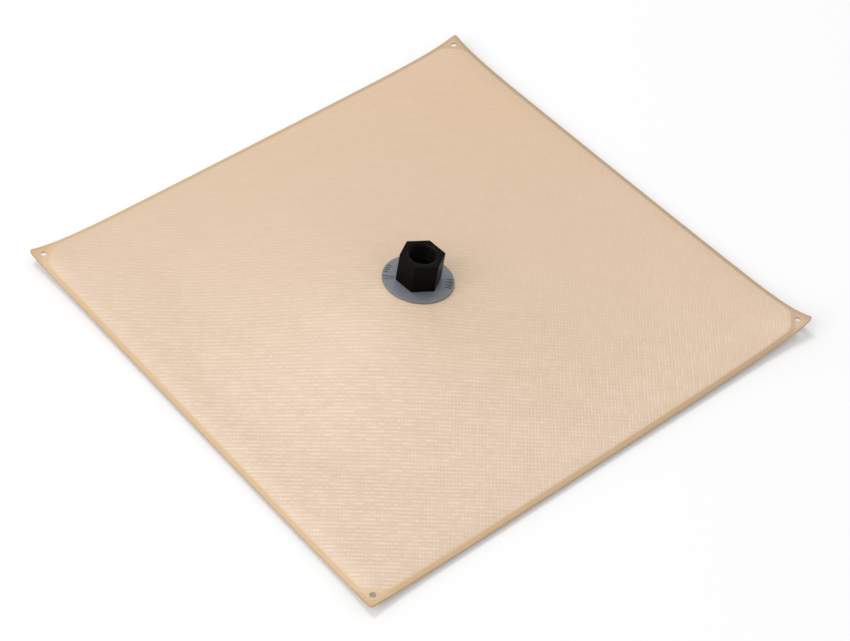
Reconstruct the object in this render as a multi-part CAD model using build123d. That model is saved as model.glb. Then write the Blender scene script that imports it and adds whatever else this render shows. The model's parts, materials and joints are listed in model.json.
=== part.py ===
from build123d import *

import os
from math import radians
from math import tan

# Square in-tank pickup mat: two woven mesh skins fused round a spacer net, with a threaded outlet.
#
# The mat lies flat, drinks liquid through both skins, and passes it along the spacer net to the outlet
# port in the middle of its upper face. Its rim is fused into a thin seam with a punched hole at each
# corner, so the mat can be tied or bolted down.
#
# Frame: millimetres, +Z up, origin at the middle of the underside, mat sides along X and Y.

# Mat outline
mat_half = 189.3            # middle of the mat to the straight part of each side
corner_reach = 191.7        # the corners flare out this far along X and Y
straight_half = 113.6       # half of the straight stretch of a side, before it flares
tip_radius = 3.0

# Layers: lower skin, bonding film, upper skin
skin_thickness = 0.4
film_thickness = 0.45
seam_bottom = 2.35          # height of the fused seam above the floor
seam_width = 3.6
shoulder_run = 11.8         # the pad reaches its full thickness this far inside the seam
pad_thickness = 5.4
corner_cut = 12.0           # the pad's corners are cut off here, which leaves the fused corner tabs
shoulder_cut = 22.0

# Corner holes
hole_spacing = 368.3
hole_radius = 2.2

# Spacer net: two crossing layers of square strands welded into one
strand = 2.15
strand_bite = 0.1           # the layers are pressed this far into each other
strand_pitch = 15.0
strand_count = 22
net_half = 170.5
net_port_radius = 34.0      # the net is cut away round the inlet cage
skin_gap = 0.1

# Outlet port: its own heights are measured from the top of the clamp disc
port_top = 16.6             # top of the clamp disc above the floor
port_lean = 8.4             # degrees towards +Y, because the port only hangs in the soft skin
dome_radius = 150.0         # the upper skin starts rising to the port here
plateau_radius = 26.5

disc_radius = 25.0
disc_thickness = 0.8
gasket_thickness = 0.6
outer_gasket_radius = 24.0
inner_gasket_radius = 23.5
flange_radius = 24.0
flange_thickness = 2.5
stub_radius = 8.9
stub_clearance = 0.3
stub_height = 7.2
waterway_radius = 6.5

cage_radius = 23.0
cage_wall = 5.0
cage_height = 4.5
cage_slots = 8
cage_slot_width = 6.0
cage_slot_height = 3.0

hex_across_flats = 28.0
hex_turn = 2.9              # degrees, where the coupling came to rest when it was tightened
hex_edge_break = 0.4
coupling_height = 22.0
socket_radius = 9.0
socket_depth = 8.0
thread_radius = 9.3         # crest radius of a 1/2-14 tapered pipe thread
thread_depth = 13.0
mouth_chamfer = 1.1
seal_radius = 8.8

# Heights worked out from the layers
lower_seam_top = seam_bottom + skin_thickness
film_top = lower_seam_top + film_thickness
seam_top = film_top + skin_thickness
pad_half = mat_half - seam_width
shoulder_half = pad_half - shoulder_run
patch_start = pad_half - corner_cut
hole_reach = hole_spacing / 2

gasket_level = -disc_thickness
plateau_level = gasket_level - gasket_thickness
skin_under = plateau_level - skin_thickness
flange_top = skin_under - gasket_thickness
flange_bottom = flange_top - flange_thickness


def cut_square(half, cut):
    """A square of the given half side whose four corners are cut off at 45 degrees."""
    near = half - cut
    corners = [(half, near), (near, half), (-near, half), (-half, near)]
    corners += [(-x, -y) for x, y in corners]
    return make_face(Polyline(*corners, close=True))


def slab(sketch, bottom, top):
    """The sketch as a flat plate between two heights."""
    return Pos(0, 0, bottom) * extrude(sketch, top - bottom)


def taper(low_sketch, low, high_sketch, high):
    """A solid that goes straight from one outline to another above it."""
    return loft([Pos(0, 0, low) * low_sketch, Pos(0, 0, high) * high_sketch], ruled=True)


def mat_outline():
    """The rim of the mat: straight sides whose ends flare out to rounded corners."""
    straight = Line((-straight_half, mat_half), (straight_half, mat_half))
    right_flare = TangentArc((straight_half, mat_half), (corner_reach, corner_reach), tangent=(1, 0))
    left_flare = TangentArc((-straight_half, mat_half), (-corner_reach, corner_reach), tangent=(-1, 0))
    edges = []
    for turn in range(4):
        edges += [Rot(0, 0, 90 * turn) * edge for edge in (straight, right_flare, left_flare)]
    face = make_face(edges)
    tips = [v for v in face.vertices() if abs(v.X) + abs(v.Y) > corner_reach + mat_half]
    return fillet(tips, tip_radius)


def disc_plate(radius, bottom, top, bore=0.0):
    """A round plate in the port's own frame, with a hole if a bore is given."""
    ring = Circle(radius)
    if bore > 0:
        ring -= Circle(bore)
    return slab(ring, bottom, top)


outline = mat_outline()
pad_outline = cut_square(pad_half, corner_cut)
shoulder_outline = cut_square(shoulder_half, shoulder_cut)
corner_holes = Part() + [
    Pos(x, y, seam_bottom) * Cylinder(hole_radius, 20)
    for x in (-hole_reach, hole_reach)
    for y in (-hole_reach, hole_reach)
]
port = Pos(0, 0, port_top) * Rot(-port_lean, 0, 0)


def dome(level, drop):
    """The rise of the upper skin from the flat pad to the leaning port."""
    base = Pos(0, 0, pad_thickness - drop) * Circle(dome_radius)
    crown = port * Pos(0, 0, level) * Circle(plateau_radius)
    return loft([base, crown], ruled=True)


def upper_mesh_skin():
    """The upper skin: fused rim, shoulder, flat pad and the dome that carries the port."""
    outside = slab(outline, film_top, seam_top)
    outside += taper(pad_outline, seam_top, shoulder_outline, pad_thickness)
    outside += dome(plateau_level, 0)
    inside = taper(pad_outline, film_top, shoulder_outline, pad_thickness - skin_thickness)
    inside += dome(skin_under, skin_thickness)
    port_hole = port * Cylinder(stub_radius + stub_clearance, 60)
    return outside - inside - port_hole - corner_holes


def lower_mesh_skin():
    """The lower skin: a shallow tray with a flat floor and the same fused rim."""
    outside = slab(outline, seam_bottom, lower_seam_top)
    outside += taper(shoulder_outline, 0, pad_outline, seam_bottom)
    inside = taper(shoulder_outline, skin_thickness, pad_outline, lower_seam_top)
    return outside - inside - corner_holes


def seam_film():
    """The bonding film between the skins along the front side, from one corner patch to the next."""
    band = Pos(0, -(pad_half + corner_reach) / 2) * Rectangle(2 * patch_start, corner_reach - pad_half)
    return slab(outline & band, lower_seam_top, film_top)


def corner_patch():
    """The wider piece of bonding film that fills the front right corner tab, with its hole."""
    size = corner_reach + 1 - patch_start
    block = Pos(patch_start + size / 2, -patch_start - size / 2) * Rectangle(size, size)
    patch = slab((outline & block) - pad_outline, lower_seam_top, film_top)
    return patch - corner_holes


def spacer_net():
    """The extruded net that keeps the skins apart: strands along Y lying across strands along X."""
    lower = skin_thickness + skin_gap + strand / 2
    upper = lower + strand - strand_bite
    first = -strand_pitch * (strand_count - 1) / 2
    strands = []
    for number in range(strand_count):
        across = first + number * strand_pitch
        strands.append(Pos(0, across, lower) * Box(2 * net_half, strand, strand))
        strands.append(Pos(across, 0, upper) * Box(strand, 2 * net_half, strand))
    net = Part() + strands
    trim = slab(cut_square(net_half, shoulder_cut) - Circle(net_port_radius), 0, pad_thickness)
    return net & trim


def outlet_coupling():
    """The hexagonal coupling: pipe thread above, socket on the stub below, and a shoulder between."""
    across_corners = hex_across_flats / tan(radians(60)) * 2
    hexagon = Rot(0, 0, hex_turn) * RegularPolygon(across_corners / 2, 6)
    body = extrude(hexagon, coupling_height)
    body = chamfer(body.edges().group_by(Axis.Z)[-1], hex_edge_break)
    body = chamfer(body.edges().group_by(Axis.Z)[0], hex_edge_break)
    body -= slab(Circle(socket_radius), 0, socket_depth)
    body -= slab(Circle(waterway_radius), 0, coupling_height)
    body -= slab(Circle(thread_radius), coupling_height - thread_depth, coupling_height)
    mouth = Pos(0, 0, coupling_height - mouth_chamfer / 2)
    return body - mouth * Cone(thread_radius, thread_radius + mouth_chamfer, mouth_chamfer)


def flange_stub():
    """The inner flange under the skin with the stub that the coupling screws on."""
    plate = disc_plate(flange_radius, flange_bottom, flange_top, waterway_radius)
    return plate + disc_plate(stub_radius, flange_top, stub_height, waterway_radius)


def inlet_cage():
    """The slotted ring under the flange that keeps the skins off the inlet."""
    cage_bottom = flange_bottom - cage_height
    ring = disc_plate(cage_radius, cage_bottom, flange_bottom, cage_radius - cage_wall)
    slot = Pos(0, 0, cage_bottom + cage_slot_height / 2)
    slot *= Box(2 * cage_radius, cage_slot_width, cage_slot_height)
    for number in range(cage_slots // 2):
        ring -= Rot(0, 0, 360 / cage_slots * number) * slot
    return ring


parts = {
    "upper_mesh_skin": upper_mesh_skin(),
    "lower_mesh_skin": lower_mesh_skin(),
    "spacer_net": spacer_net(),
    "flange_disc": port * disc_plate(disc_radius, -disc_thickness, 0, stub_radius + stub_clearance),
    "outer_gasket": port * disc_plate(
        outer_gasket_radius, plateau_level, gasket_level, stub_radius + stub_clearance
    ),
    "inner_gasket": port * disc_plate(
        inner_gasket_radius, flange_top, skin_under, stub_radius + stub_clearance
    ),
    "flange_stub": port * flange_stub(),
    "inlet_cage": port * inlet_cage(),
    "outlet_coupling": port * outlet_coupling(),
    "thread_seal": port * disc_plate(seal_radius, stub_height, socket_depth, waterway_radius),
}
sides = ("front", "right", "back", "left")
corners = ("front_right", "back_right", "back_left", "front_left")
for number in range(4):
    turn = Rot(0, 0, 90 * number)
    parts["seam_film_" + sides[number]] = turn * seam_film()
    parts["corner_patch_" + corners[number]] = turn * corner_patch()

os.makedirs("parts", exist_ok=True)
for name, solid in parts.items():
    export_step(solid, f"parts/{name}.step")
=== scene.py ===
"""Looks of the square mesh pickup mat: two woven skins fused round a spacer net, and a threaded outlet.

Lengths are in millimetres until a mesh is made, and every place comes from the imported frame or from
the named sizes below, which repeat the part's own.
"""
import json
from math import cos, pi, radians, sin

import bpy
import numpy as np
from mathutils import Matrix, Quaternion, Vector


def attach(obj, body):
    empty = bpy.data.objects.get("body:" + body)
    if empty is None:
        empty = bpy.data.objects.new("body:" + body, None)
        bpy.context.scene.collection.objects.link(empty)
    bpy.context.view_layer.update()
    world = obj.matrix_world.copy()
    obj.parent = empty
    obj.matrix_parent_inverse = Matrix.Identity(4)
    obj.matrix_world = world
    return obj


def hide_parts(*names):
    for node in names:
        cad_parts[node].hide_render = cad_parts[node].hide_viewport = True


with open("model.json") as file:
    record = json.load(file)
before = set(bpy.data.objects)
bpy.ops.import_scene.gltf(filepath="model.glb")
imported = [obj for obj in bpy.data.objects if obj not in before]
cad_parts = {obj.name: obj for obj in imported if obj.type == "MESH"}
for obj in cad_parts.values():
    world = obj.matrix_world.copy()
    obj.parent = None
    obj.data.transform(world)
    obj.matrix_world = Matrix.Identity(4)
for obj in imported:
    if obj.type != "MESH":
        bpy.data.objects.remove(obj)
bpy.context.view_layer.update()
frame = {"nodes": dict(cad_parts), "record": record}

MM = 0.001
BODY = "root"

# The mat's plan
mat_half = 189.3
corner_reach = 191.7
flare_start = 0.6           # the sides are straight for this share of their half length
tip_radius = 3.0
seam_width = 3.6
corner_cut = 9.5
tab_cut = 12.0              # the corner tabs' film starts this far inside the pad's corner
patch_start = mat_half - seam_width - tab_cut
cut_line = 2 * (mat_half - seam_width) - corner_cut
hole_radius = 2.2

# The mat's layers and heights
skin_thickness = 0.4
rim_top = 3.6               # upper face of the fused rim
rim_bottom = 2.35
pad_top = 5.4
shoulder = 15.4             # the pad is at full thickness this far in from the rim
shoulder_fullness = 1.8     # power of the shoulder's rise: 1 would be straight, more is rounder
seam_rise = 0.9             # the fused band climbs this much before the pad starts
seam_groove = 0.08          # depth of the crease where the fused band ends
groove_width = 0.55
side_blend = 4.0            # widths over which the shoulder turns at the tips and at the cut corners
cut_blend = 5.0
film_share = 0.96           # the bonding film fills this share of the seam's width

# The soft posture: each corner tab, given by the signs of its X and Y, curls up by its own height
# and is drawn in towards the middle by its own distance
corner_curl = {(-1, -1): 6.4, (1, -1): 3.6, (1, 1): 10.4, (-1, 1): 5.8}
corner_pull = {(-1, -1): 0.6, (1, -1): 1.6, (1, 1): 1.8, (-1, 1): 0.9}
pull_reach = 42.0
curl_reach = (17.0, 62.0)   # a tight curl at the tab and a long gentle lift behind it
curl_share = 0.72
dome_radius = 162.0
plateau_radius = 26.0

# Slack and tension in the upper skin
ripple_height = 0.4
ripple_lengths = (150, 120, 95, 80, 66, 54, 46)
slack_start = 6.0           # the ripples grow from here in from the rim, and from taut_radius outwards
taut_radius = 30.0
slack_run = 30.0
pucker_height = 0.03        # small puckers along the seam, where the fused film has shrunk
pucker_length = 9.5
pucker_wander = 61.0
pucker_width = 3.0
crease_height = 0.16
crease_waves = ((9, 0.8, 1.0), (14, 2.1, 0.7), (23, 0.0, 0.5))      # count, phase and share
crease_start = 5.0          # the creases swell over the first length and die out over the second
crease_fade = 16.0

# Where the colour of the fused mesh fades out: how far outside the seam's inner line that starts, and
# over which width. The painted shade along the cut edge, where the rim's side falls into shade, fades from
# the edge itself.
side_fade = (0.7, 1.3)
tab_fade = (1.2, 2.6)
cut_fade = 1.1

# How finely the skins and films are cut up
skin_cells = 216
strip_cells = (6, 180)
tab_cells = 38
ring_fade = 1.8             # a punched hole draws the grid in over this many rings of cells

# The weave as it is drawn
bias_angle = 40.0           # the mesh is cut on the bias, its threads turned this far off the sides
line_gap = 3.05
cross_gap = 2.2
crest_power = 6.0           # the higher, the narrower the lit crest of a thread
faint_share = 0.3           # how strongly the threads show on the side of the mat that dims them
under_share = 0.4           # and where a thread dives under another
highlight_streak_scale = 0.7            # per radian of a thread's wave, so a painted highlight streak is a little under half a gap wide
highlight_streak_slimness = 0.13        # a painted highlight streak's width over its length along the thread

# The spacer net
strand = 2.15
strand_bite = 0.1
strand_pitch = 15.0
strand_count = 22
net_half = 170.5
net_cut = 22.0
net_port_radius = 34.0
net_gap = 0.1

# The outlet, in its own frame with the top of the clamp disc at height 0
disc_radius = 25.0
disc_thickness = 0.8
disc_edge = 0.28            # radius of the disc's rounded edges
skin_level = -1.4           # upper face of the skin, clamped between the gaskets
stub_hole = 9.2
across_flats = 28.0
hex_turn = 2.9
hex_sharpness = 90          # power of the norm that draws the hexagon: the higher, the sharper
edge_break = 0.22
edge_step = 0.12            # the broken edge bulges at this height, and the flat starts after the margin
edge_margin = 0.5
coupling_height = 22.0
socket_radius = 9.0
socket_depth = 8.0
shoulder_top = 9.0
waterway_radius = 6.5
thread_crest = 9.3
thread_depth = 1.05
thread_pitch = 25.4 / 14    # 14 threads to the inch
thread_steps = 104
thread_run_out = 2.2
flank_gain = 1.35           # the groove's triangle is this steep, and both its ends are cut off flat
crest_flat = 0.12
bore_break = 0.2
socket_break = 0.3
mouth_radius = 10.4
mouth_start = 0.6
# The dished mouth: radius and height of each ring
lip = ((11.3, 0.0), (11.0, -0.06), (10.7, -0.18), (10.4, -0.33), (10.0, -0.53))
thread_mount_height = 15.0  # the record's thread mount lies this far above the clamp disc


def mount(name):
    """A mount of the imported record, by name."""
    return next(m for m in frame["record"]["mounts"] if m["name"] == name)


hole_reach = mount("corner_holes")["dims"]["spacing_x_mm"] / 2
port_axis = Vector(mount("outlet_thread")["axis"]).normalized()
port_origin = Vector(mount("outlet_thread")["pos_m"]) / MM - port_axis * thread_mount_height
port_turn = np.array(Vector((0, 0, 1)).rotation_difference(port_axis).to_matrix())


# ---------------------------------------------------------------- meshes

def new_mesh(name, points, faces, smooth_angle=None):
    """A mesh object at the origin from points in millimetres, shaded smooth up to the given angle."""
    mesh = bpy.data.meshes.new(name)
    mesh.from_pydata((np.asarray(points) * MM).tolist(), [], faces)
    mesh.polygons.foreach_set("use_smooth", [True] * len(mesh.polygons))
    if smooth_angle is not None:
        mesh.set_sharp_from_angle(angle=radians(smooth_angle))
    mesh.update()
    piece = bpy.data.objects.new(name, mesh)
    bpy.context.scene.collection.objects.link(piece)
    return piece


def smooth_step(t):
    """0 below 0, 1 above 1, and the cubic 3t^2 - 2t^3 between."""
    t = np.clip(t, 0.0, 1.0)
    return t * t * (3 - 2 * t)


def soft_least(a, b, width):
    """The smaller of two arrays, with the corner between them rounded over the given width."""
    h = np.clip(0.5 + 0.5 * (b - a) / width, 0, 1)
    return b + (a - b) * h - width * h * (1 - h)


def flare(t):
    """How far a side has flared at the share t of its half length: a parabola past flare_start."""
    past = np.clip((np.abs(t) - flare_start) / (1 - flare_start), 0, 1)
    return (corner_reach - mat_half) * past**2


def side_inset(x, y):
    """Distance in from the nearest side of the mat, rounded off where two sides are equally near."""
    to_x = mat_half + flare(y / corner_reach) - np.abs(x)
    to_y = mat_half + flare(x / corner_reach) - np.abs(y)
    return np.maximum(soft_least(to_x, to_y, side_blend), 0)


def inset(x, y):
    """Distance in from the rim, taken so that the pad starts one seam width in, at the corners too.

    It is the lesser of the distance to the side and the distance to the pad's cut corner plus the
    seam width.
    """
    to_cut = seam_width + (cut_line - np.abs(x) - np.abs(y)) / 2**0.5
    return np.maximum(soft_least(side_inset(x, y), to_cut, cut_blend), 0)


def curl(x, y):
    """Lift of the corners: for each, its height times two decaying exponentials of the distance."""
    lift = 0
    for (sign_x, sign_y), height in corner_curl.items():
        away = np.hypot(x - sign_x * corner_reach, y - sign_y * corner_reach)
        tight = np.exp(-away / curl_reach[0])
        gentle = np.exp(-away / curl_reach[1])
        lift = lift + height * (curl_share * tight + (1 - curl_share) * gentle)
    return lift


def drawn_in(x, y):
    """Plan after the corners are drawn in: for each, its pull times a bell of the distance to it."""
    shift_x, shift_y = 0, 0
    for (sign_x, sign_y), pull in corner_pull.items():
        away = np.hypot(x - sign_x * corner_reach, y - sign_y * corner_reach)
        bell = pull * np.exp(-((away / pull_reach) ** 2))
        shift_x, shift_y = shift_x - sign_x * bell, shift_y - sign_y * bell
    return x + shift_x, y + shift_y


def ripples(x, y):
    """Slack in the upper skin: a sum of long sine waves, kept above zero so it clears the net.

    Each wave's share is its length to the power 0.8, and a tanh evens out their sum.
    """
    waves = 0
    draw = np.random.default_rng(7)
    for length in ripple_lengths:
        turn, phase = draw.uniform(0, 2 * pi, 2)
        waves = waves + (length / ripple_lengths[0]) ** 0.8 * np.sin(
            2 * pi * (x * cos(turn) + y * sin(turn)) / length + phase
        )
    return ripple_height * (0.5 + 0.5 * np.tanh(waves / 1.6))


def port_plane(x, y):
    """Height of the clamped skin's plane, which leans with the outlet."""
    start = port_origin + port_axis * skin_level
    return start.z - ((x - start.x) * port_axis.x + (y - start.y) * port_axis.y) / port_axis.z


def port_creases(x, y, away):
    """Short tension creases round the clamp disc: a sum of waves round it, times a fading exponential."""
    angle = np.arctan2(y, x)
    ridges = sum(share * np.sin(count * angle + phase) for count, phase, share in crease_waves)
    past = away - plateau_radius
    return crease_height * ridges * smooth_step(past / crease_start) * np.exp(-past / crease_fade)


def upper_face(x, y):
    """Top of the upper skin: fused band, rounded shoulder, flat pad, and the dome up to the outlet.

    rim + rise * (1 - (1 - t)^fullness) over the shoulder, plus curl and ripples, plus the port
    plane's height above the pad times a falloff that is half a straight cone and half a smooth bell.
    Puckers of a wandering sine wave run along the seam.
    """
    from_rim = inset(x, y)
    up = np.clip((from_rim - seam_width) / (shoulder - seam_width), 0, 1)
    rise = 1 - (1 - up) ** shoulder_fullness
    height = rim_top + seam_rise * smooth_step(from_rim / seam_width)
    height = height + (pad_top - rim_top - seam_rise) * rise
    height = height - seam_groove * np.exp(-((from_rim - seam_width) / groove_width) ** 2)
    away = np.maximum(np.hypot(x, y), 1e-6)
    down = np.clip((away - plateau_radius) / (dome_radius - plateau_radius), 0, 1)
    falloff = 0.5 * (1 - down) + 0.5 * (1 - smooth_step(down))
    pull = np.minimum(1, plateau_radius / away)
    dome = (port_plane(x * pull, y * pull) - pad_top) * falloff
    free = smooth_step((from_rim - slack_start) / slack_run) * smooth_step((away - taut_radius) / slack_run)
    wander = 1.3 * np.sin(2 * pi * (x - y) / pucker_wander)
    pucker = pucker_height * np.sin(2 * pi * (x + y) / pucker_length + wander)
    near_seam = np.exp(-((from_rim - slack_start) / pucker_width) ** 2)
    height = height + curl(x, y) + dome + ripples(x, y) * free
    return height + pucker * near_seam + port_creases(x, y, away)


def lower_face(x, y):
    """Underside of the lower skin: flat on the floor, up a smooth shoulder to the fused rim."""
    return rim_bottom * (1 - smooth_step(inset(x, y) / shoulder)) + curl(x, y)


def round_tips(x, y):
    """Plan whose four square tips are drawn in to quarter circles of the tip radius."""
    start = corner_reach - tip_radius
    a = (np.abs(x) - start) / tip_radius
    b = (np.abs(y) - start) / tip_radius
    tip = (a > 0) & (b > 0)
    shrink = np.where(tip, np.maximum(a, b) / np.maximum(np.hypot(a, b), 1e-9), 1)
    x = np.where(tip, np.sign(x) * (start + tip_radius * a * shrink), x)
    y = np.where(tip, np.sign(y) * (start + tip_radius * b * shrink), y)
    return x, y


def mat_grid(cells):
    """Plan of a skin: a square grid, closer at the rim, whose sides flare and whose tips are round.

    A grid line's share s of the half side is 0.4 s + 0.6 sin(s pi / 2).
    """
    even = np.linspace(-1, 1, cells + 1)
    spread = 0.4 * even + 0.6 * np.sin(even * pi / 2)
    u, v = np.meshgrid(spread, spread)
    x, y = round_tips(u * (mat_half + flare(v)), v * (mat_half + flare(u)))
    return x, y, np.ones((cells, cells), bool)


def punch(grid, centre_x, centre_y, radius, ring):
    """Opens a round hole in a grid: the square ring of cells round the centre is drawn to a circle.

    A point at the ring's share m goes to radius * m on its ray, and past the ring that pull fades
    out smoothly over ring_fade more rings.
    """
    x, y, kept = grid
    row, column = np.unravel_index(np.argmin((x - centre_x) ** 2 + (y - centre_y) ** 2), x.shape)
    rows, columns = np.indices(x.shape)
    a = (columns - column) / ring
    b = (rows - row) / ring
    across = x[row, min(column + ring, x.shape[1] - 1)] - x[row, max(column - ring, 0)]
    along = y[min(row + ring, x.shape[0] - 1), column] - y[max(row - ring, 0), column]
    most = np.maximum(np.abs(a), np.abs(b))
    reach = most / np.maximum(np.hypot(a, b), 1e-9) * radius
    near = 1 - smooth_step((most - 1) / ring_fade)
    x = x + near * (centre_x + np.sign(across) * a * reach - x)
    y = y + near * (centre_y + np.sign(along) * b * reach - y)
    kept = kept.copy()
    kept[row - ring:row + ring, column - ring:column + ring] = False
    return x, y, kept


def shell(name, x, y, top, bottom, kept):
    """A closed sheet between two height fields on one plan grid, walled along every open edge."""
    rows, columns = x.shape
    x, y = drawn_in(x, y)
    upper = np.stack([x, y, top], -1).reshape(-1, 3)
    lower = np.stack([x, y, bottom], -1).reshape(-1, 3)
    index = np.arange(rows * columns).reshape(rows, columns)
    below = index + rows * columns
    quads = np.stack([index[:-1, :-1], index[:-1, 1:], index[1:, 1:], index[1:, :-1]], -1)[kept]
    faces = [quads, quads[:, ::-1] + rows * columns]
    padded = np.pad(kept, 1)
    before = padded[:-1, 1:-1]
    after = padded[1:, 1:-1]
    start, end, start_low, end_low = index[:, :-1], index[:, 1:], below[:, :-1], below[:, 1:]
    edge = after & ~before
    faces.append(np.stack([start_low, end_low, end, start], -1)[edge])
    edge = before & ~after
    faces.append(np.stack([end_low, start_low, start, end], -1)[edge])
    before = padded[1:-1, :-1]
    after = padded[1:-1, 1:]
    start, end, start_low, end_low = index[:-1], index[1:], below[:-1], below[1:]
    edge = after & ~before
    faces.append(np.stack([end_low, start_low, start, end], -1)[edge])
    edge = before & ~after
    faces.append(np.stack([start_low, end_low, end, start], -1)[edge])
    faces = np.concatenate(faces)
    used, packed = np.unique(faces, return_inverse=True)
    points = np.concatenate([upper, lower])[used]
    return new_mesh(name, points, packed.reshape(faces.shape).tolist(), 50)


def paint_zones(piece):
    """Stores where the mesh is fused: red along the sides, green in the corner tabs; blue marks the cut
    edge, where a painted shade darkens the mesh.

    Each is 1 where the mesh is fused and falls to 0 over its own fade.
    """
    mesh = piece.data
    points = np.zeros(len(mesh.vertices) * 3, np.float32)
    mesh.vertices.foreach_get("co", points)
    x, y, z = points.reshape(-1, 3).T / MM
    moved_x, moved_y = drawn_in(x, y)
    x, y = 2 * x - moved_x, 2 * y - moved_y
    from_side = side_inset(x, y)
    zones = np.ones((len(x), 4), np.float32)
    zones[:, 0] = 1 - smooth_step((from_side - seam_width + side_fade[0]) / side_fade[1])
    zones[:, 1] = 1 - smooth_step((inset(x, y) - seam_width + tab_fade[0]) / tab_fade[1])
    zones[:, 2] = 1 - smooth_step(from_side / cut_fade)
    layer = mesh.color_attributes.new("zones", "FLOAT_COLOR", "POINT")
    layer.data.foreach_set("color", zones.ravel())


def skins():
    """The upper and lower mesh skins, with punched corner holes; the upper also fits the stub."""
    made = []
    for name, top, bottom, port in (
        ("upper_skin", upper_face, lambda x, y: upper_face(x, y) - skin_thickness, True),
        ("lower_skin", lambda x, y: lower_face(x, y) + skin_thickness, lower_face, False),
    ):
        grid = mat_grid(skin_cells)
        for sign_x in (-1, 1):
            for sign_y in (-1, 1):
                grid = punch(grid, sign_x * hole_reach, sign_y * hole_reach, hole_radius, 3)
        if port:
            grid = punch(grid, 0.0, 0.0, stub_hole, 4)
        x, y, kept = grid
        piece = shell(name, x, y, top(x, y), bottom(x, y), kept)
        paint_zones(piece)
        made.append(piece)
    return made


def film_piece(name, x, y, kept):
    """A piece of bonding film that fills the space between the skins over its plan grid."""
    return shell(name, x, y, upper_face(x, y) - skin_thickness, lower_face(x, y) + skin_thickness, kept)


def turned(x, y, quarter):
    """A plan grid turned by quarter turns about the mat's middle."""
    for _ in range(quarter):
        x, y = -y, x
    return x, y


def seam_strip(name, quarter):
    """The film along one side: straight across from the seam's inner line to the rim."""
    across, along = strip_cells
    x, t = np.meshgrid(np.linspace(-patch_start, patch_start, along + 1), np.linspace(0, 1, across + 1))
    outer = mat_half + flare(x / corner_reach)
    y = -outer + (1 - t) * seam_width * film_share
    x, y = turned(x, y[::-1], quarter)
    return film_piece(name, x, y, np.ones(strip_cells, bool))


def tab_patch(name, quarter):
    """The film in one corner tab, from the pad's cut corner out to the rounded tip, with its hole.

    A square grid whose outer sides follow the flare, as its share to the power 1.5.
    """
    u, v = np.meshgrid(np.linspace(0, 1, tab_cells + 1), np.linspace(0, 1, tab_cells + 1))
    edge = mat_half + flare(patch_start / corner_reach)
    x = patch_start + u * (edge + (corner_reach - edge) * v**1.5 - patch_start)
    y = patch_start + v * (edge + (corner_reach - edge) * u**1.5 - patch_start)
    x, y = round_tips(x, y)
    middle_x = (x[:-1, :-1] + x[1:, 1:]) / 2
    middle_y = (y[:-1, :-1] + y[1:, 1:]) / 2
    kept = middle_x + middle_y > cut_line
    grid = punch((x, y, kept), hole_reach, hole_reach, hole_radius, 4)
    x, y = turned(grid[0], grid[1], quarter)
    return film_piece(name, x, y, grid[2])


def net_runs():
    """Start, end and offset of each strand: cut back at the mat's corners and round the outlet."""
    offsets = (np.arange(strand_count) - (strand_count - 1) / 2) * strand_pitch
    runs = []
    for offset in offsets:
        end = min(net_half, 2 * net_half - net_cut - abs(offset))
        gap = max(net_port_radius**2 - offset**2, 0) ** 0.5
        if gap > 0:
            runs += [(-end, -gap, offset), (gap, end, offset)]
        else:
            runs.append((-end, end, offset))
    return np.array(runs)


def spacer_net(stations=48, sides=12):
    """Two crossing layers of strands, each a rounded square swept along a line that follows the mat.

    The section is the superellipse |c|^4 + |s|^4 = 1, and each strand ends in a flat cap.
    """
    around = np.arange(sides) * 2 * pi / sides + pi / sides
    wide, high = np.cos(around), np.sin(around)
    size = strand / 2 / (wide**4 + high**4) ** 0.25
    wide, high = wide * size, high * size
    share = np.linspace(0, 1, stations)
    runs = net_runs()
    along = runs[:, :1] + (runs[:, 1:2] - runs[:, :1]) * share
    across = np.repeat(runs[:, 2:], stations, 1)
    points, faces = [], []
    for layer in (0, 1):
        x, y = (along, across) if layer == 0 else (across, along)
        middle = lower_face(x, y) + skin_thickness + net_gap + strand / 2
        middle = middle + layer * (strand - strand_bite)
        shift_x = 0 * wide if layer == 0 else -wide
        shift_y = wide if layer == 0 else 0 * wide
        x, y = drawn_in(x, y)
        ring = np.stack([
            x[..., None] + shift_x, y[..., None] + shift_y, middle[..., None] + high
        ], -1)
        start = sum(len(p) for p in points)
        index = start + np.arange(ring[..., 0].size).reshape(ring.shape[:3])
        follow = np.roll(index, -1, axis=2)
        quads = np.stack([index[:, :-1], follow[:, :-1], follow[:, 1:], index[:, 1:]], -1)
        points.append(ring.reshape(-1, 3))
        faces += quads.reshape(-1, 4).tolist()
        faces += index[:, 0, ::-1].tolist() + index[:, -1].tolist()
    return new_mesh("spacer_net_strands", np.concatenate(points), faces, 40)


def in_port(points):
    """Points of the outlet's own frame, turned and moved to where the outlet leans in the mat."""
    return points @ port_turn.T + np.array(port_origin)


def lathe(name, radius, height, turn=0.0, smooth_angle=35):
    """A closed ring in the outlet's frame: its profile's radius and height at each station and angle."""
    stations, angles = radius.shape
    theta = radians(turn) + np.arange(angles) * 2 * pi / angles
    points = np.stack([radius * np.cos(theta), radius * np.sin(theta), height + 0 * radius], -1)
    index = np.arange(stations * angles).reshape(stations, angles)
    side = np.roll(index, -1, axis=1)
    quads = np.stack([index, side, np.roll(side, -1, axis=0), np.roll(index, -1, axis=0)], -1)
    return new_mesh(name, in_port(points.reshape(-1, 3)), quads.reshape(-1, 4).tolist(), smooth_angle)


def rounded(corner, before, after, radius, steps=4):
    """Points of a profile corner rounded by a quadratic curve from one straight to the next."""
    corner, before, after = (np.array(p, float) for p in (corner, before, after))
    start = corner + (before - corner) / np.linalg.norm(before - corner) * radius
    end = corner + (after - corner) / np.linalg.norm(after - corner) * radius
    t = np.linspace(0, 1, steps)[:, None]
    return (1 - t) ** 2 * start + 2 * t * (1 - t) * corner + t**2 * end


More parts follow.
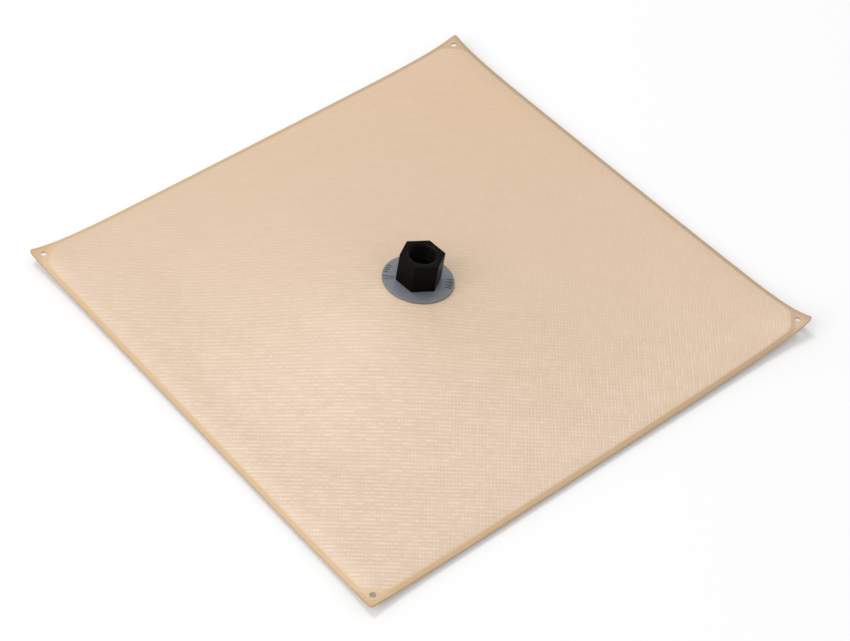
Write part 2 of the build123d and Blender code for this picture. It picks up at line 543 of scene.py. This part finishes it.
def clamp_disc(angles=224):
    """The clamp disc: a flat ring whose rim and bore edges are slightly rounded."""
    corners = [
        (stub_hole, -disc_thickness), (disc_radius, -disc_thickness), (disc_radius, 0), (stub_hole, 0)
    ]
    profile = np.concatenate([
        rounded(corners[k], corners[k - 1], corners[(k + 1) % 4], disc_edge) for k in range(4)
    ])
    radius = np.repeat(profile[:, :1], angles, 1)
    return lathe("clamp_disc", radius, profile[:, 1:], smooth_angle=50)


def hexagon(theta, flats):
    """Radius of a hexagon with slightly rounded corners.

    Half the flats over a norm of high power of the cosines of the angles to its six faces.
    """
    total = 0
    for face in range(6):
        total = total + np.maximum(np.cos(theta - radians(30 + 60 * face)), 0) ** hex_sharpness
    return flats / 2 * total ** (-1 / hex_sharpness)


def thread_wall(theta, height):
    """Radius of the threaded wall: a triangle wave of height less the turn, widened by the mouth.

    The wave is clipped at both ends, and fades out above the shoulder.
    """
    phase = (height / thread_pitch - theta / (2 * pi)) % 1
    groove = np.clip(flank_gain * (1 - np.abs(2 * phase - 1)) - crest_flat, 0, 1)
    run_out = smooth_step((height - shoulder_top) / thread_run_out)
    wall = thread_crest + thread_depth * groove * run_out
    cone = mouth_radius - (coupling_height - height)
    return np.maximum(wall, cone)


def coupling(angles=240):
    """The hexagonal coupling: up the outside, down the threaded bore, through the shoulder, and back."""
    theta = np.arange(angles) * 2 * pi / angles
    edge = [
        (0.0, across_flats - 2 * edge_break), (edge_step, across_flats - edge_break * 1.1),
        (edge_break, across_flats), (edge_break + edge_margin, across_flats),
    ]
    outside = edge + [(coupling_height - height, flats) for height, flats in reversed(edge)]
    radius = [hexagon(theta, flats) for height, flats in outside]
    level = [height for height, flats in outside]
    for ring, drop in lip:
        radius.append(ring + 0 * theta)
        level.append(coupling_height + drop)
    for height in np.linspace(coupling_height - mouth_start, shoulder_top, thread_steps):
        radius.append(thread_wall(theta, height))
        level.append(height)
    for ring, height in (
        (waterway_radius + bore_break, shoulder_top), (waterway_radius, shoulder_top - bore_break),
        (waterway_radius, socket_depth + bore_break), (waterway_radius + bore_break, socket_depth),
        (socket_radius, socket_depth), (socket_radius, socket_depth / 2), (socket_radius, socket_break),
        (socket_radius + socket_break, 0.0),
    ):
        radius.append(ring + 0 * theta)
        level.append(height)
    return lathe("hex_coupling", np.array(radius), np.array(level)[:, None], hex_turn, 38)


def index_marks():
    """Plain printed ticks on the clamp disc, in place of any lettering: thin radial bars."""
    # Each bar: angle, inner and outer end, and half its width
    bars = [(232.5, 16.4, 24.4, 0.36), (239.0, 16.8, 24.4, 0.32)]
    bars += [(angle, 21.0, 23.9, 0.42) for angle in (203, 209, 215, 221)]
    bars += [(angle, 19.2, 23.9, 0.44) for angle in (33, 41, 49, 57)]
    bars += [(angle, 21.2, 23.9, 0.36) for angle in (37, 45, 53)]
    low, high = -0.02, 0.035
    box = np.array([(a, b, c) for c in (0, 1) for b in (0, 1) for a in (0, 1)], float)
    sides = np.array([
        (0, 2, 3, 1), (4, 5, 7, 6), (0, 1, 5, 4), (2, 6, 7, 3), (0, 4, 6, 2), (1, 3, 7, 5)
    ])
    points, faces = [], []
    for number, (angle, start, end, half) in enumerate(bars):
        out = np.array((cos(radians(angle)), sin(radians(angle))))
        side = np.array((-out[1], out[0]))
        length = start + (end - start) * box[:, 0]
        plan = np.outer(length, out) + np.outer((2 * box[:, 1] - 1) * half, side)
        points.append(np.column_stack([plan, low + (high - low) * box[:, 2]]))
        faces += (sides + 8 * number).tolist()
    return new_mesh("index_marks", in_port(np.concatenate(points)), faces, 30)


# ---------------------------------------------------------------- materials

def paint(code):
    """An sRGB hex colour as the linear colour that a shader wants."""
    channels = [int(code[k:k + 2], 16) / 255 for k in (0, 2, 4)]
    return [*(c / 12.92 if c <= 0.04045 else ((c + 0.055) / 1.055) ** 2.4 for c in channels), 1.0]


def fineness(size):
    """The scale of a pattern whose patches are this many millimetres across."""
    return 1 / (size * MM)


def add(tree, kind, inputs, **settings):
    """Adds a node with its settings, and gives each input its value or the socket that feeds it."""
    node = tree.nodes.new(kind)
    for key, value in settings.items():
        setattr(node, key, value)
    for key, value in inputs.items():
        if isinstance(value, bpy.types.NodeSocket):
            tree.links.new(value, node.inputs[key])
        else:
            node.inputs[key].default_value = value
    return node


def start_material(name, **settings):
    """A new material with a Principled surface, given as (material, tree, shader)."""
    material = bpy.data.materials.new(name)
    material.use_nodes = True
    tree = material.node_tree
    shader = tree.nodes["Principled BSDF"]
    for key, value in settings.items():
        shader.inputs[key.replace("_", " ")].default_value = value
    return material, tree, shader


MAP = "ShaderNodeMapping"
MATH = "ShaderNodeMath"
MIX = "ShaderNodeMix"
NOISE = "ShaderNodeTexNoise"
RANGE = "ShaderNodeMapRange"
SHARE, FIRST, SECOND, BLEND = 0, 6, 7, 2    # a colour mix's inputs, and its output


def finish_surface(tree, shader, colour, roughness, relief, strength, depth):
    """Joins a colour, a roughness and a relief of the given depth in millimetres to the shader."""
    tree.links.new(colour, shader.inputs["Base Color"])
    if roughness is not None:
        tree.links.new(roughness, shader.inputs["Roughness"])
    bump = add(tree, "ShaderNodeBump", {"Strength": strength, "Distance": depth * MM, "Height": relief})
    tree.links.new(bump.outputs[0], shader.inputs["Normal"])


def mesh_threads(tree, bias):
    """Height of the weave, and how strongly each row of threads shows, crest by crest.

    Two crossing rows of rounded threads take turns on top. The real threads lie a few tenths of a
    millimetre apart, too fine to show, so they are drawn 3.05 and 2.2 mm apart. Threads one way catch
    the light on the left of the mat, and the other way on the right.
    """
    threads = add(
        tree, MAP, {"Vector": bias, "Scale": (pi / (line_gap * MM), pi / (cross_gap * MM), 1)}
    ).outputs[0]
    along = add(tree, "ShaderNodeSeparateXYZ", {"Vector": threads})
    across = add(tree, "ShaderNodeSeparateXYZ", {"Vector": bias})
    right = add(
        tree, RANGE, {"Value": across.outputs["Y"], "From Min": -0.01, "From Max": 0.17}
    ).outputs[0]
    waves, rows, crests = [], [], []
    for axis, left_share, right_share in (("X", 1.0, faint_share), ("Y", faint_share, 1.0)):
        wave = add(tree, MATH, {0: along.outputs[axis]}, operation="SINE").outputs[0]
        rise = add(tree, MATH, {0: wave}, operation="ABSOLUTE").outputs[0]
        share = add(tree, RANGE, {"Value": right, "To Min": left_share, "To Max": right_share}).outputs[0]
        crest = add(tree, MATH, {0: rise, 1: crest_power}, operation="POWER").outputs[0]
        waves.append(wave)
        rows.append(add(tree, MATH, {0: rise, 1: share}, operation="MULTIPLY").outputs[0])
        crests.append(add(tree, MATH, {0: crest, 1: share}, operation="MULTIPLY").outputs[0])
    turn = add(tree, MATH, {0: waves[0], 1: waves[1]}, operation="MULTIPLY").outputs[0]
    over = add(tree, RANGE, {"Value": turn, "From Min": -1.0, "To Min": under_share}).outputs[0]
    under = add(
        tree, RANGE, {"Value": turn, "From Min": -1.0, "To Min": 1.0, "To Max": under_share}
    ).outputs[0]
    row = add(tree, MATH, {0: rows[0], 1: over}, operation="MULTIPLY").outputs[0]
    weave = add(tree, MATH, {0: rows[1], 1: under, 2: row}, operation="MULTIPLY_ADD").outputs[0]
    return threads, crests, weave


def thread_colour(tree, place, bias, threads, crests, weave):
    """Tan threads in random patches of tone, paler and greyer towards the front of the mat as painted
    sheen, with pale streaks painted as highlight on the lit thread crests and painted shade in the pores.
    """
    across = add(tree, "ShaderNodeSeparateXYZ", {"Vector": bias}).outputs["X"]
    cloud = add(
        tree, NOISE, {"Vector": place, "Scale": fineness(111), "Detail": 2.0, "Roughness": 0.5}
    ).outputs["Fac"]
    # Painted sheen: the threads turn paler and greyer towards the front of the mat, where the gloss is
    # strongest; the cloud adds random tone.
    front_sheen_and_tone = add(tree, RANGE, {"Value": across, "From Min": -0.2, "From Max": 0.22}).outputs[0]
    front_sheen_and_tone = add(tree, MATH, {0: cloud, 1: 0.3, 2: front_sheen_and_tone}, operation="MULTIPLY_ADD").outputs[0]
    colour = add(
        tree, MIX, {SHARE: front_sheen_and_tone, FIRST: paint("C0A589"), SECOND: paint("C4AE98")}, data_type="RGBA"
    ).outputs[BLEND]

    # The painted crest highlights and the painted pore shade both show more strongly across the roll,
    # towards the front of the mat
    near = add(
        tree, RANGE, {"Value": across, "From Min": -0.06, "From Max": 0.12, "To Min": 0.3}
    ).outputs[0]
    for crest, stretch in zip(crests, ((1.0, highlight_streak_slimness, 1.0), (highlight_streak_slimness, 1.0, 1.0))):
        along = add(tree, MAP, {"Vector": threads, "Scale": stretch}).outputs[0]
        streak = add(
            tree, NOISE, {"Vector": along, "Scale": highlight_streak_scale, "Detail": 1.0, "Roughness": 0.5}
        ).outputs["Fac"]
        # Painted highlight: pale streaks on the thread crests, where the threads catch the light, broken up
        # by noise.
        crest_highlight = add(
            tree, RANGE, {"Value": streak, "From Min": 0.46, "From Max": 0.56, "To Max": 0.47}
        ).outputs[0]
        crest_highlight = add(tree, MATH, {0: crest_highlight, 1: near}, operation="MULTIPLY").outputs[0]
        crest_highlight = add(tree, MATH, {0: crest_highlight, 1: crest}, operation="MULTIPLY").outputs[0]
        colour = add(
            tree, MIX, {SHARE: crest_highlight, FIRST: colour, SECOND: paint("DDCCB8")}, data_type="RGBA"
        ).outputs[BLEND]

    patchy = add(tree, MAP, {"Vector": bias, "Scale": (1.0, 0.35, 1.0)}).outputs[0]
    patches = add(tree, NOISE, {"Vector": patchy, "Scale": fineness(7.7), "Detail": 1.0}).outputs["Fac"]
    broken = add(
        tree, RANGE, {"Value": patches, "From Min": 0.35, "From Max": 0.65, "To Min": 0.06, "To Max": 0.24}
    ).outputs[0]
    # Painted shade in the pores between the threads, broken up in patches.
    gap = add(tree, MATH, {0: 1.0, 1: weave}, operation="SUBTRACT").outputs[0]
    gap = add(tree, MATH, {0: gap, 1: near}, operation="MULTIPLY", use_clamp=True).outputs[0]
    pore_shade = add(tree, MATH, {0: gap, 1: broken}, operation="MULTIPLY").outputs[0]
    return add(
        tree, MIX, {SHARE: pore_shade, FIRST: colour, SECOND: paint("967B5E")}, data_type="RGBA"
    ).outputs[BLEND]


def pressed_colour(tree, place):
    """Film seen through the mesh it was pressed into: ochre, a little blotchy, with painted light and
    shade, paler along the front and darker at the back.
    """
    across = add(tree, "ShaderNodeSeparateXYZ", {"Vector": place}).outputs["Y"]
    blotch = add(tree, NOISE, {"Vector": place, "Scale": fineness(14.3), "Detail": 2.0}).outputs["Fac"]
    # Painted light and shade: the fused band is paler along the front, which faces the light, and darker at
    # the back, which faces away.
    back = add(
        tree, RANGE, {"Value": across, "From Min": -0.19, "From Max": 0.19, "To Min": -0.25, "To Max": 0.75}
    ).outputs[0]
    back = add(
        tree, MATH, {0: blotch, 1: 0.5, 2: back}, operation="MULTIPLY_ADD", use_clamp=True
    ).outputs[0]
    return add(
        tree, MIX, {SHARE: back, FIRST: paint("BC9C73"), SECOND: paint("A68A69")}, data_type="RGBA"
    ).outputs[BLEND]


def woven_mesh():
    """Plain-woven polyester monofilament mesh, heat-set: fine satin threads with small pores between.

    Where the rim is fused the threads sink into the ochre film, and the surface there is flatter and a
    little glossier.
    """
    material, tree, shader = start_material("woven_polyester_mesh", IOR=1.5)
    place = add(tree, "ShaderNodeTexCoord", {}).outputs["Object"]
    bias = add(tree, MAP, {"Vector": place, "Rotation": (0, 0, radians(bias_angle))}).outputs[0]
    threads, crests, weave = mesh_threads(tree, bias)

    zones = add(tree, "ShaderNodeVertexColor", {}, layer_name="zones").outputs["Color"]
    side, tab, cut_edge = add(tree, "ShaderNodeSeparateColor", {"Color": zones}).outputs
    side = add(tree, MATH, {0: side, 1: 0.9}, operation="MULTIPLY").outputs[0]
    tab = add(tree, MATH, {0: tab, 1: 0.62}, operation="MULTIPLY").outputs[0]
    fused = add(tree, MATH, {0: side, 1: tab}, operation="MAXIMUM").outputs[0]
    # Painted shade: a darker band along the cut edge, where the rim's side falls into shade.
    edge_shade = add(tree, MATH, {0: cut_edge, 1: 0.35}, operation="MULTIPLY").outputs[0]

    colour = thread_colour(tree, place, bias, threads, crests, weave)
    colour = add(
        tree, MIX, {SHARE: fused, FIRST: colour, SECOND: pressed_colour(tree, place)}, data_type="RGBA"
    ).outputs[BLEND]
    colour = add(
        tree, MIX, {SHARE: edge_shade, FIRST: colour, SECOND: paint("7C6A52")}, data_type="RGBA"
    ).outputs[BLEND]
    roughness = add(tree, RANGE, {"Value": fused, "To Min": 0.44, "To Max": 0.41}).outputs[0]
    flat = add(tree, RANGE, {"Value": fused, "To Min": 1.0, "To Max": 0.2}).outputs[0]
    relief = add(tree, MATH, {0: weave, 1: flat}, operation="MULTIPLY").outputs[0]
    finish_surface(tree, shader, colour, roughness, relief, 0.14, 0.25)
    return material


def bonding_film():
    """Hot-melt bonding film, pressed clear and gone ochre: smooth, a little cloudy, softly glossy."""
    material, tree, shader = start_material("hot_melt_film", Roughness=0.38, IOR=1.5)
    place = add(tree, "ShaderNodeTexCoord", {}).outputs["Object"]
    cloud = add(tree, NOISE, {"Vector": place, "Scale": fineness(8.33), "Detail": 3.0}).outputs["Fac"]
    colour = add(
        tree, MIX, {SHARE: cloud, FIRST: paint("B48F5E"), SECOND: paint("C9A97B")}, data_type="RGBA"
    ).outputs[BLEND]
    finish_surface(tree, shader, colour, None, cloud, 0.2, 0.05)
    return material


def extruded_polypropylene():
    """Natural polypropylene netting, extruded: milky white, waxy, with faint lines along the draw."""
    material, tree, shader = start_material(
        "extruded_polypropylene", Roughness=0.42, IOR=1.49, Subsurface_Weight=0.15,
        Subsurface_Radius=(0.002, 0.002, 0.002),
    )
    place = add(tree, "ShaderNodeTexCoord", {}).outputs["Object"]
    lines = add(tree, NOISE, {"Vector": place, "Scale": fineness(1.11), "Detail": 2.0}).outputs["Fac"]
    colour = add(
        tree, MIX, {SHARE: lines, FIRST: paint("DCDCD4"), SECOND: paint("EEEEE6")}, data_type="RGBA"
    ).outputs[BLEND]
    finish_surface(tree, shader, colour, None, lines, 0.25, 0.08)
    return material


def anodised_disc():
    """Slate anodised aluminium, rolled and stamped: satin, with a faint grain and a blue-grey cast."""
    material, tree, shader = start_material("slate_anodised_aluminium", Metallic=0.15)
    place = add(tree, "ShaderNodeTexCoord", {}).outputs["Object"]
    rolled = add(tree, MAP, {"Vector": place, "Scale": (1.0, 14.0, 1.0)}).outputs[0]
    grain = add(
        tree, NOISE, {"Vector": rolled, "Scale": fineness(3.85), "Detail": 4.0, "Roughness": 0.6}
    ).outputs["Fac"]
    cloud = add(tree, NOISE, {"Vector": place, "Scale": fineness(18.2), "Detail": 2.0}).outputs["Fac"]
    cast = add(tree, MATH, {0: cloud, 1: 0.3}, operation="MULTIPLY").outputs[0]
    colour = add(
        tree, MIX, {SHARE: grain, FIRST: paint("66696D"), SECOND: paint("787B7F")}, data_type="RGBA"
    ).outputs[BLEND]
    colour = add(
        tree, MIX, {SHARE: cast, FIRST: colour, SECOND: paint("646A7C")}, data_type="RGBA"
    ).outputs[BLEND]
    roughness = add(tree, RANGE, {"Value": grain, "To Min": 0.3, "To Max": 0.44}).outputs[0]
    finish_surface(tree, shader, colour, roughness, grain, 0.12, 0.03)
    return material


def black_acetal():
    """Black acetal, turned and milled: near black, satin, with fine tool marks that catch the light."""
    material, tree, shader = start_material("machined_black_acetal", IOR=1.48, Specular_IOR_Level=0.05)
    place = add(tree, "ShaderNodeTexCoord", {}).outputs["Object"]
    marks = add(tree, MAP, {"Vector": place, "Scale": (1.0, 1.0, 9.0)}).outputs[0]
    tool = add(tree, NOISE, {"Vector": marks, "Scale": fineness(2.38), "Detail": 3.0}).outputs["Fac"]
    colour = add(
        tree, MIX, {SHARE: tool, FIRST: paint("070605"), SECOND: paint("0C0A08")}, data_type="RGBA"
    ).outputs[BLEND]
    roughness = add(tree, RANGE, {"Value": tool, "To Min": 0.3, "To Max": 0.4}).outputs[0]
    finish_surface(tree, shader, colour, roughness, tool, 0.15, 0.04)
    return material


def marking_ink():
    """Pad-printed black ink: matt, thin, a little patchy."""
    material, tree, shader = start_material("printed_ink", Roughness=0.7)
    place = add(tree, "ShaderNodeTexCoord", {}).outputs["Object"]
    patch = add(tree, NOISE, {"Vector": place, "Scale": fineness(1.25)}).outputs["Fac"]
    colour = add(
        tree, MIX, {SHARE: patch, FIRST: paint("17161C"), SECOND: paint("2C2A33")}, data_type="RGBA"
    ).outputs[BLEND]
    finish_surface(tree, shader, colour, None, patch, 0.2, 0.01)
    return material


def moulded_rubber():
    """Black nitrile rubber, moulded: matt, with a fine mould grain."""
    material, tree, shader = start_material("moulded_nitrile_rubber", Roughness=0.72, IOR=1.52)
    place = add(tree, "ShaderNodeTexCoord", {}).outputs["Object"]
    grain = add(tree, NOISE, {"Vector": place, "Scale": fineness(1.67), "Detail": 3.0}).outputs["Fac"]
    colour = add(
        tree, MIX, {SHARE: grain, FIRST: paint("141414"), SECOND: paint("222120")}, data_type="RGBA"
    ).outputs[BLEND]
    finish_surface(tree, shader, colour, None, grain, 0.3, 0.05)
    return material


def dress(piece, material, slot, *nodes):
    """Gives a piece its material and its body, and hides the CAD nodes that it stands for. The slot is not
    used.
    """
    piece.data.materials.clear()
    piece.data.materials.append(material)
    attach(piece, BODY)
    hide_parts(*nodes)


# ---------------------------------------------------------------- the object

mesh_cloth = woven_mesh()
film = bonding_film()
acetal = black_acetal()
rubber = moulded_rubber()

upper_skin, lower_skin = skins()
dress(upper_skin, mesh_cloth, "woven_mesh", "upper_mesh_skin")
dress(lower_skin, mesh_cloth, "woven_mesh", "lower_mesh_skin")

for quarter, side in enumerate(("front", "right", "back", "left")):
    dress(seam_strip(f"{side}_seam", quarter), film, "bonding_film", f"seam_film_{side}")
for quarter, corner in enumerate(("back_right", "back_left", "front_left", "front_right")):
    dress(tab_patch(f"{corner}_tab", quarter), film, "bonding_film", f"corner_patch_{corner}")

dress(spacer_net(), extruded_polypropylene(), "extruded_net", "spacer_net")
dress(clamp_disc(), anodised_disc(), "slate_disc", "flange_disc")
dress(coupling(), acetal, "black_acetal", "outlet_coupling")
ticks = index_marks()
ticks.data.materials.append(marking_ink())
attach(ticks, BODY)

for node, material in (
    ("outer_gasket", rubber), ("inner_gasket", rubber), ("thread_seal", rubber),
    ("flange_stub", acetal), ("inlet_cage", acetal),
):
    frame["nodes"][node].data.materials.clear()
    frame["nodes"][node].data.materials.append(material)


# ---------------------------------------------------------------- floor, light and camera

def floor():
    """A wide white light table just under the mat: matt acrylic, with its own soft glow."""
    half = 4000.0
    corners = [(-half, -half, -0.3), (half, -half, -0.3), (half, half, -0.3), (-half, half, -0.3)]
    sheet = new_mesh("floor", corners, [(0, 1, 2, 3)])
    material, tree, shader = start_material("white_acrylic_table", Roughness=0.9, Emission_Strength=0.13)
    shader.inputs["Base Color"].default_value = paint("D1D1D1")
    shader.inputs["Emission Color"].default_value = paint("FFFFFF")
    sheet.data.materials.append(material)


def soft_box(name, direction, distance, size, power):
    """A square area light that looks at the mat's middle from the given direction."""
    lamp = bpy.data.lights.new(name, "AREA")
    lamp.shape = "SQUARE"
    lamp.size = size
    lamp.energy = power
    box = bpy.data.objects.new(name, lamp)
    away = Vector(direction).normalized()
    box.location = away * distance
    box.rotation_mode = "QUATERNION"
    box.rotation_quaternion = away.to_track_quat("Z", "Y")
    bpy.context.scene.collection.objects.link(box)


def studio():
    """White surroundings, a soft box at the front left for shape, and one overhead for gloss."""
    floor()
    world = bpy.data.worlds.new("studio")
    world.use_nodes = True
    world.node_tree.nodes["Background"].inputs[0].default_value = (1, 1, 1, 1)
    world.node_tree.nodes["Background"].inputs[1].default_value = 0.82
    bpy.context.scene.world = world
    bpy.context.scene.view_settings.view_transform = "Standard"
    soft_box("side", (-0.05, -0.78, 0.62), 4.0, 3.2, 76)
    soft_box("top", (-0.41, 0.06, 0.91), 5.0, 1.6, 82)


def camera():
    """The camera: turned and raised about its aim point, with a slight roll."""
    azimuth, elevation, roll = 49.55, 46.98, 1.90
    aim = Vector((23.5, -12.8, 3.0)) * MM
    distance = 1.5103
    data = bpy.data.cameras.new("camera")
    data.sensor_width = 36.0
    data.lens = 94.44
    data.clip_start = 0.05
    eye = bpy.data.objects.new("camera", data)
    a, e = radians(azimuth), radians(elevation)
    back = Vector((sin(a) * cos(e), -cos(a) * cos(e), sin(e)))
    eye.location = aim + back * distance
    eye.rotation_mode = "QUATERNION"
    eye.rotation_quaternion = back.to_track_quat("Z", "Y") @ Quaternion((0, 0, 1), radians(roll))
    bpy.context.scene.collection.objects.link(eye)
    bpy.context.scene.camera = eye


studio()
camera()
